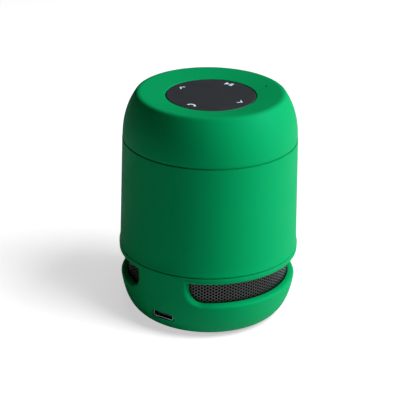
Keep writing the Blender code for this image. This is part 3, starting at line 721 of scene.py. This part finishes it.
def make_grille():
    """Perforated sheet, bent to a ring: a rectangle of its own for each hole, and staggered columns."""
    low, high = span("grille")
    outer = high.x
    rows = int((high.z - low.z - 0.6) / HOLE_PITCH)
    first = (low.z + high.z - rows * HOLE_PITCH) / 2
    last = first + rows * HOLE_PITCH
    step = 360 / GRILLE_COLUMNS
    shape = bmesh.new()

    def corner(radius, angle, z):
        return shape.verts.new((*(c * MM for c in on_circle(radius, angle)), z * MM))

    def patch(angle, bottom, top):
        """Plain sheet, half a column wide on each side of an angle."""
        for radius in (outer, outer - SHEET):
            for a, b in ((-step / 2, 0), (0, step / 2)):
                places = ((a, bottom), (b, bottom), (b, top), (a, top))
                shape.faces.new([corner(radius, angle + turn, z) for turn, z in places])

    def pierced(angle, z):
        """A rectangle with a hole through it."""
        loops = []
        for radius in (outer, outer - SHEET):
            edge = [(angle + x * step / 2, z + y * HOLE_PITCH / 2) for x, y in ROUND_CELL]
            turns = [math.degrees(math.atan2(y, x)) for x, y in ROUND_CELL]
            hole = [on_circle(HOLE_RADIUS, turn) for turn in turns]
            rim = [(angle + math.degrees(x / radius), z + y) for x, y in hole]
            loops.append([[corner(radius, *place) for place in places] for places in (edge, rim)])
        (edge, rim), (back_edge, back_rim) = loops
        sew(shape, edge, rim)
        sew(shape, rim, back_rim)
        sew(shape, back_rim, back_edge)

    for column in range(GRILLE_COLUMNS):
        angle = column * step
        shifted = column % 2
        for row in range(rows - shifted):
            pierced(angle, first + (row + (1 + shifted) / 2) * HOLE_PITCH)
        patch(angle, low.z, first)
        patch(angle, last, high.z)
        if shifted:
            patch(angle, first, first + HOLE_PITCH / 2)
            patch(angle, last - HOLE_PITCH / 2, last)
        for z in (low.z, high.z):
            for a, b in ((-step / 2, 0), (0, step / 2)):
                places = ((outer, a), (outer, b), (outer - SHEET, b), (outer - SHEET, a))
                shape.faces.new([corner(radius, angle + turn, z) for radius, turn in places])
    stand_in("grille", to_mesh(shape, "grille", repair=True))


HARNESS_PLACE = (12.0, 20.8)
HARNESS_HOLE = 1.15


def make_sound_diffuser():
    """Hollow cone that turns the driver's sound outwards, with a flange under the grille."""
    low, high = span("sound_diffuser")
    flange = 10.95
    top = bezier([(0, high.z), (7.0, 18.6), (12.0, 11.4), (24.5, flange)], 28)
    under = bezier([(24.0, low.z), (11.5, 10.3), (6.5, 17.3), (0, high.z - 1.2)], 24)
    mesh = turned("sound_diffuser", top + [(high.x, flange), (high.x, low.z)] + under)
    stand_in("sound_diffuser", carved(mesh, [rod(*HARNESS_PLACE, HARNESS_HOLE, 8.0, 14.0)]))


# ---------------------------------------------------------------- socket, switch and lower board


def make_charge_socket():
    low, high = span("usb_shell")
    outline = socket_outline(high.x, high.z - low.z, 0.85, 0.5)
    shell = socket_block(outline, high.y, low.y)
    wall = 0.18
    bore = socket_outline(high.x - wall, high.z - low.z - 2 * wall, 0.78, 0.45)
    hollow = socket_block(bore, high.y - 0.4, low.y - 1.0)
    stand_in("usb_shell", carved(shell, [hollow]))
    low, high = span("usb_tongue")
    stand_in("usb_tongue", box(low, high, 0.08))
    contacts = [
        box((x - 0.16, low.y + 0.25, low.z - 0.03), (x + 0.16, high.y - 0.4, low.z + 0.05))
        for x in (-1.3, -0.65, 0.0, 0.65, 1.3)
    ]
    trim("socket_contacts", gathered("socket_contacts", contacts), "gold")


def make_power_switch():
    low, high = span("switch_body")
    channel = box((-2.3, -1.15, low.z - 1), (2.3, 1.15, high.z - 0.55))
    stand_in("switch_body", carved(box(low, high, 0.15), [channel]))
    low, high = span("switch_knob")
    centre = (low.x + high.x) / 2
    ridges = [
        box((x - 0.1, low.y - 1, low.z - 1), (x + 0.1, high.y + 1, low.z + 0.2))
        for x in (centre - 0.45, centre, centre + 0.45)
    ]
    stand_in("switch_knob", carved(box(low, high, 0.12), ridges))


def make_charge_board():
    low, high = span("charge_board")
    right = [(high.x, high.y, 0.5), (high.x, -21.4, 0.3), (4.6, -22.4, 0.3), (4.6, low.y, 0.2)]
    board = prism(softened(mirrored(right)), low.z, high.z)
    stand_in("charge_board", carved(board, [rod(x, y, 0.9, 4.0, 7.0) for x, y in CHARGE_POSTS]))
    top = high.z + 0.02
    chips = [box((-3.6, -12.5, top), (-0.6, -9.5, top + 0.8), 0.08)]
    chips += [box((1.2 + 1.6 * i, -12.0, top), (2.2 + 1.6 * i, -10.0, top + 0.7), 0.06) for i in range(3)]
    trim("charge_board_parts", gathered("charge_board_parts", chips), "chip_black")
    ends = [
        box((-3.9 + 0.6 * i, y, top), (-3.6 + 0.6 * i, y + 0.55, top + 0.12))
        for i in range(6)
        for y in (-13.1, -9.45)
    ]
    trim("charge_board_pins", gathered("charge_board_pins", ends), "steel")


# ---------------------------------------------------------------- tray, battery and main board

LEADS_Y = 21.5


def make_inner_tray():
    """Deck with a frame for the battery and posts for the main board."""
    low, high = span("inner_tray")
    deck = high.z - 9.05
    bay = 17.3, 12.3
    board_posts = [(middle(node).x, 0) for node in ("board_screw_1", "board_screw_2")]
    mesh = disc("inner_tray", high.x, low.z, deck, 0.15, LARGE_ROUND)
    mesh = joined(mesh, [box((-18.5, -13.5, deck - 0.5), (18.5, 13.5, deck + 2.4), 0.3)])
    mesh = carved(mesh, [box((-bay[0], -bay[1], deck), (*bay, deck + 4))])
    mesh = joined(mesh, [rod(x, y, 1.8, deck - 0.5, high.z) for x, y in board_posts])
    holes = [rod(x, y, 0.8, 51.0, 58.0) for x, y in board_posts]
    holes += [rod(x, y, 0.95, low.z - 1, deck + 1) for x, y in BOSS_PLACES]
    holes.append(rod(*HARNESS_PLACE, HARNESS_HOLE, low.z - 1, deck + 1))
    holes.append(box((-5, LEADS_Y - 1.6, low.z - 1), (5, LEADS_Y + 1.6, deck + 1)))
    stand_in("inner_tray", carved(mesh, holes))


def make_battery():
    low, high = span("battery")
    stand_in("battery", box(low, high, 1.4, 6))
    low, high = span("battery_pad")
    stand_in("battery_pad", box(low, high, 0.1))
    low, high = span("battery_connector")
    slots = [
        box((x - 0.7, low.y + 0.8, low.z - 1), (x + 0.7, high.y - 0.8, low.z + 0.4)) for x in (-1.3, 1.3)
    ]
    stand_in("battery_connector", carved(box(low, high, 0.25), slots))


def make_main_board():
    low, high = span("main_board")
    screws = [(middle(node).x, 0) for node in ("board_screw_1", "board_screw_2")]
    mesh = disc("main_board", high.x, low.z, high.z, 0.05, LARGE_ROUND)
    stand_in("main_board", carved(mesh, [rod(x, y, 0.95, low.z - 1, high.z + 1) for x, y in screws]))
    top = high.z + 0.02
    low, high = span("bluetooth_module")
    stand_in("bluetooth_module", box(low, high, 0.5, 4))
    low, high = span("amplifier_chip")
    stand_in("amplifier_chip", box(low, high, 0.15))
    pins = [
        box((low.x + 0.35 + 0.6 * i, y, top), (low.x + 0.65 + 0.6 * i, y + 0.8, top + 0.2))
        for i in range(8)
        for y in (low.y - 0.9, high.y + 0.1)
    ]
    trim("amplifier_pins", gathered("amplifier_pins", pins), "steel")
    small = []
    for row in range(3):
        for column in range(6):
            x, y = -14 + 4.3 * column, 5 + 3.6 * row
            if math.hypot(x, y) < 16.5:
                small.append(box((x, y, top), (x + 1.6, y + 0.8, top + 0.6), 0.06))
    trim("main_board_parts", gathered("main_board_parts", small), "tray_grey")
    cans = [disc("can", 1.9, top, top + 2.2, 0.35, SMALL_ROUND) for _ in range(3)]
    cans = [moved(can, x, y) for can, (x, y) in zip(cans, ((17, -3), (17, 2.2), (15.5, 7.4)))]
    trim("main_board_capacitors", gathered("main_board_capacitors", cans), "battery_silver")


# ---------------------------------------------------------------- driver

DRIVER_SCREWS = [(middle(f"driver_screw_{n}").x, middle(f"driver_screw_{n}").y) for n in (1, 2, 3)]


def make_baffle():
    low, high = span("baffle_plate")
    mesh = ring("baffle_plate", 18.9, high.x, low.z, high.z, 0.2, LARGE_ROUND)
    holes = [rod(x, y, 0.8, low.z - 1, high.z + 1) for x, y in DRIVER_SCREWS]
    holes += [rod(x, y, 1.0, low.z - 1, high.z + 1) for x, y in BOSS_PLACES]
    stand_in("baffle_plate", carved(mesh, [*holes, rod(*HARNESS_PLACE, HARNESS_HOLE, low.z - 1, high.z + 1)]))
    low, high = span("driver_gasket")
    mesh = ring("driver_gasket", 18.9, high.x, low.z, high.z, 0.08)
    stand_in("driver_gasket", carved(mesh, [rod(x, y, 0.9, low.z - 1, high.z + 1) for x, y in DRIVER_SCREWS]))


def make_driver_frame():
    """Basket: magnet plate above, windowed cone and the screw flange below."""
    low, high = span("driver_frame")
    flange, back, face = high.x, high.z, low.z
    outer = [(12.9, back, 0.3), (14.2, back - 1.2, 0.4), (17.6, 27.6, 0.5), (18.2, face + 1.0, 0.3)]
    rim = [(flange, face + 1.0, 0.25), (flange, face, 0.25)]
    inner = [(17.7, face, 0.2), (17.0, 27.4, 0.5), (13.6, 32.8, 0.4), (12.6, 33.6, 0.3)]
    bore = [(6.9, 33.6), (6.9, back)]
    mesh = turned("driver_frame", softened([*outer, *rim, *inner, *bore]))
    window = (12.0, -4.5, 28.2), (20.0, 4.5, 31.8), 1.0
    mesh = carved(mesh, [moved(box(*window), turn=facing) for facing in (45, 135, 225, 315)])
    stand_in("driver_frame", carved(mesh, [rod(x, y, 0.9, face - 1, face + 2) for x, y in DRIVER_SCREWS]))
    low, high = span("driver_terminals")
    stand_in("driver_terminals", box(low, high, 0.12))


def rippled(start, end, waves_across, height, steps):
    """A line from start to end of (radius, z), with even waves that die out at both ends."""
    points = []
    for i in range(steps + 1):
        share = i / steps
        radius, z = blend_points(start, end, share)
        fade = min(1, 6 * share, 6 * (1 - share))
        points.append((radius, z + fade * height * math.sin(math.tau * waves_across * share)))
    return points


def make_moving_coil():
    """Ribbed paper cone, dust cap and voice coil."""
    low, high = span("driver_cone")
    rim = high.x
    outer = rippled((6.3, high.z), (rim - 0.3, 25.75), 5, 0.05, 60)
    inner = rippled((rim - 0.9, low.z), (6.05, high.z - 0.7), 5, 0.05, 60)
    stand_in("driver_cone", turned("driver_cone", outer + [(rim, low.z + 0.1), (rim - 0.1, low.z)] + inner))
    low, high = span("driver_dust_cap")
    over = bezier([(0, low.z + 0.3), (4.0, low.z + 0.3), (7.0, 28.1), (8.2, high.z)], 16)
    under = bezier([(8.3, 28.6), (7.0, 27.8), (4.0, low.z), (0, low.z)], 16)
    stand_in("driver_dust_cap", turned("driver_dust_cap", over + under))
    low, high = span("driver_voice_coil")
    wound, former, bore = high.x, high.x - 0.4, high.x - 0.8
    first, last, turns = 36.0, 33.5, 12
    pitch = (first - last) / turns
    winding = []
    for i in range(turns):
        for lean in (90, 60, 30, 0, -30, -60):
            lift, drop = on_circle(pitch / 2, lean)
            winding.append((wound - pitch / 2 + lift, first - pitch * (i + 0.5) + drop))
    tube = [(former, low.z), (bore, low.z), (bore, high.z), (former, high.z)]
    coil = turned("driver_voice_coil", [(former, first + 0.05), *winding, (former, last - 0.05), *tube])
    stand_in("driver_voice_coil", coil)


def sheet_profile(samples, thickness):
    """A thin sheet through samples of (radius, z), thickened downwards."""
    return samples + [(radius, z - thickness) for radius, z in reversed(samples)]


def make_suspension():
    """Half-roll surround at the cone's rim and corrugated spider at its neck."""
    low, high = span("driver_surround")
    inner, roll_middle, roll = 14.3, 16.6, 1.25
    steps = 20
    bend = [
        (roll_middle - roll * math.cos(math.pi * i / steps), high.z - 1.12 * math.sin(math.pi * i / steps))
        for i in range(steps + 1)
    ]
    samples = [(inner, high.z), *bend, (high.x, high.z)]
    stand_in("driver_surround", turned("driver_surround", sheet_profile(samples, 0.35)))
    low, high = span("driver_spider")
    level = (low.z + high.z) / 2 + 0.15
    ripple = rippled((6.15, level), (high.x, level), 3.5, 0.33, 84)
    stand_in("driver_spider", turned("driver_spider", sheet_profile(ripple, 0.3)))


def make_motor():
    """Top plate, magnet, and the yoke with its pole."""
    low, high = span("driver_top_plate")
    stand_in("driver_top_plate", ring("driver_top_plate", 6.7, high.x, low.z, high.z, 0.15))
    low, high = span("driver_magnet")
    stand_in("driver_magnet", ring("driver_magnet", 7.6, high.x, low.z, high.z, 0.45))
    low, high = span("driver_yoke")
    plate_low, pole = high.z - 1.75, 5.1
    yoke = [(0, high.z), (high.x, high.z, 0.3), (high.x, plate_low, 0.2), (pole, plate_low, 0.2)]
    yoke += [(pole, low.z, 0.25), (0, low.z)]
    stand_in("driver_yoke", turned("driver_yoke", softened(yoke)))


# ---------------------------------------------------------------- screws and wires


def screw_mesh(name, head_radius, head_height, shank_radius, length):
    """Pan-head screw with a cross recess and a threaded shank. Its origin is under the head."""
    shoulder = (head_radius, head_height * 0.8)
    head = bezier([(0, head_height), (head_radius * 0.7, head_height), shoulder, (head_radius, 0.12)], 10)
    profile = head + [(head_radius - 0.1, 0), (shank_radius * 0.8, 0)]
    core, pitch, z = shank_radius * 0.78, 0.5, -0.4
    while z > 0.7 - length:
        profile += [(core, z), (shank_radius, z - pitch * 0.45), (core, z - pitch * 0.85)]
        z -= pitch
    profile += [(shank_radius * 0.7, 0.5 - length), (0, -length)]
    mesh = turned(name, profile, SMALL_ROUND)
    reach, blade, deep = head_radius * 0.58, head_radius * 0.13, head_height * 0.4
    half = [(reach, -blade), (reach, blade), (blade, blade), (blade, reach), (-blade, reach), (-blade, blade)]
    cross = half + [(-x, -y) for x, y in half]
    return carved(mesh, [prism(cross, deep, head_height + 1)])


# Count, head radius and height, shank radius, length, and whether it is driven from below.
SCREWS = {
    "base_screw": (3, 1.35, 0.75, 0.75, 4.6, True),
    "baffle_screw": (3, 1.5, 1.0, 0.75, 6.5, True),
    "tray_screw": (3, 1.5, 1.0, 0.75, 6.5, False),
    "driver_screw": (3, 1.1, 0.8, 0.55, 2.8, True),
    "board_screw": (2, 1.1, 0.8, 0.55, 2.8, False),
    "charge_screw": (2, 1.1, 0.8, 0.55, 2.8, False),
}


def make_screws():
    for name, (count, head_radius, head_height, shank_radius, length, from_below) in SCREWS.items():
        for number in range(1, count + 1):
            node = f"{name}_{number}"
            low, high = span(node)
            mesh = screw_mesh(node, head_radius, head_height, shank_radius, length)
            under_head = low.z + head_height if from_below else high.z - head_height
            if from_below:
                mesh.transform(Matrix.Rotation(math.pi, 4, "X"))
            stand_in(node, moved(mesh, middle(node).x, middle(node).y, under_head))


def finish_cad_nodes():
    """The CAD nodes that stay in view, such as the wires, take their slot's material."""
    for node, obj in frame["nodes"].items():
        if not obj.hide_render:
            obj.data.materials.clear()
            obj.data.materials.append(FINISH[SLOT_OF[node]])


# ---------------------------------------------------------------- camera, floor and light

CAMERA_AZIMUTH = 32.0  # of the camera round the object, from -Y towards +X
CAMERA_TILT = 24.166
CAMERA_ROLL = 0.974
CAMERA_PLACE = (0.2563, -0.4158, 0.2575)
LENS = 144
LIGHT_TARGET = (0, 0, 0.04)


def make_camera():
    data = bpy.data.cameras.new("camera")
    data.lens = LENS
    data.sensor_width = 36
    data.clip_start = 0.01
    camera = bpy.data.objects.new("camera", data)
    bpy.context.scene.collection.objects.link(camera)
    turn = Matrix.Rotation(math.radians(CAMERA_AZIMUTH), 4, "Z")
    tilt = Matrix.Rotation(math.radians(90 - CAMERA_TILT), 4, "X")
    roll = Matrix.Rotation(math.radians(CAMERA_ROLL), 4, "Z")
    camera.matrix_world = Matrix.Translation(CAMERA_PLACE) @ turn @ tilt @ roll
    bpy.context.scene.camera = camera


def add_light(name, azimuth, elevation, size, power, colour=(1, 1, 1)):
    """A square soft box one metre off, its azimuth counted rightwards from the camera."""
    data = bpy.data.lights.new(name, "AREA")
    data.size = size
    data.energy = power
    data.color = colour
    light = bpy.data.objects.new(name, data)
    bpy.context.scene.collection.objects.link(light)
    target = Vector(LIGHT_TARGET)
    x, y = on_circle(math.cos(math.radians(elevation)), CAMERA_AZIMUTH - 90 + azimuth)
    light.location = target + Vector((x, y, math.sin(math.radians(elevation))))
    light.rotation_euler = (target - light.location).to_track_quat("-Z", "Y").to_euler()
    return light


# Azimuth, elevation, size, power and colour. The first group lights all but the white floor, and the
# second that floor alone.
OBJECT_LIGHTS = {
    "key": (82, 33, 0.6, 21.0, (0.85, 1.0, 1.12)),
    "back": (150, 45, 0.5, 1.0),
    "left_back": (-110, 20, 0.4, 0.45, (0.4, 1.0, 0.65)),
}
FLOOR_LIGHTS = {
    "shadow_key": (62, 51, 0.6, 9.5),
    "overhead": (20, 86, 0.4, 1.1),
}
FLOOR_HALF = 3000
FLOOR_THICK = 10
FLOOR_GLOW = 0.56
FLOOR_WHITE = 0.93
BOUNCE_GREY = 0.76
FLOOR_Z = -0.06
BOUNCE_Z = -0.01


def add_floor(name, z, grey):
    data = box((-FLOOR_HALF, -FLOOR_HALF, z - FLOOR_THICK), (FLOOR_HALF, FLOOR_HALF, z))
    floor = bpy.data.objects.new(name, data)
    bpy.context.scene.collection.objects.link(floor)
    look = finish(name, (grey,) * 3, 0.9, mottle=0.01, patch=40, height=0.5, Specular_IOR_Level=0.0)
    data.materials.append(look)
    return floor


def make_stage():
    """A white floor that only the camera sees, and a grey one just above it that sends light back up."""
    seen = add_floor("floor", FLOOR_Z, FLOOR_WHITE)
    shader = seen.data.materials[0].node_tree.nodes["Principled BSDF"]
    shader.inputs["Emission Color"].default_value = (1, 1, 1, 1)
    shader.inputs["Emission Strength"].default_value = FLOOR_GLOW
    seen.visible_diffuse = False
    seen.visible_glossy = False
    bounce = add_floor("floor_bounce", BOUNCE_Z, BOUNCE_GREY)
    bounce.visible_camera = False
    bounce.visible_shadow = False
    world = bpy.data.worlds.new("studio")
    world.use_nodes = True
    world.node_tree.nodes["Background"].inputs["Color"].default_value = (1, 1, 1, 1)
    world.cycles_visibility.diffuse = False
    world.cycles_visibility.glossy = False
    bpy.context.scene.world = world
    bpy.context.scene.view_settings.view_transform = "Standard"
    for lights, reach in ((OBJECT_LIGHTS, "EXCLUDE"), (FLOOR_LIGHTS, "INCLUDE")):
        linked = bpy.data.collections.new("floor_" + reach.lower())
        linked.objects.link(seen)
        linked.collection_objects[0].light_linking.link_state = reach
        for name, values in lights.items():
            add_light(name, *values).light_linking.receiver_collection = linked


# ---------------------------------------------------------------- all together


def main():
    make_camera()
    make_stage()
    make_top_cap()
    make_touch_panel()
    make_symbols()
    make_under_panel()
    make_microphone()
    make_body_sleeve()
    make_base_shell()
    make_base_plate()
    make_foot_ring()
    make_grille()
    make_sound_diffuser()
    make_charge_socket()
    make_power_switch()
    make_charge_board()
    make_inner_tray()
    make_battery()
    make_main_board()
    make_baffle()
    make_driver_frame()
    make_moving_coil()
    make_suspension()
    make_motor()
    make_screws()
    finish_cad_nodes()
    bpy.context.view_layer.update()


main()
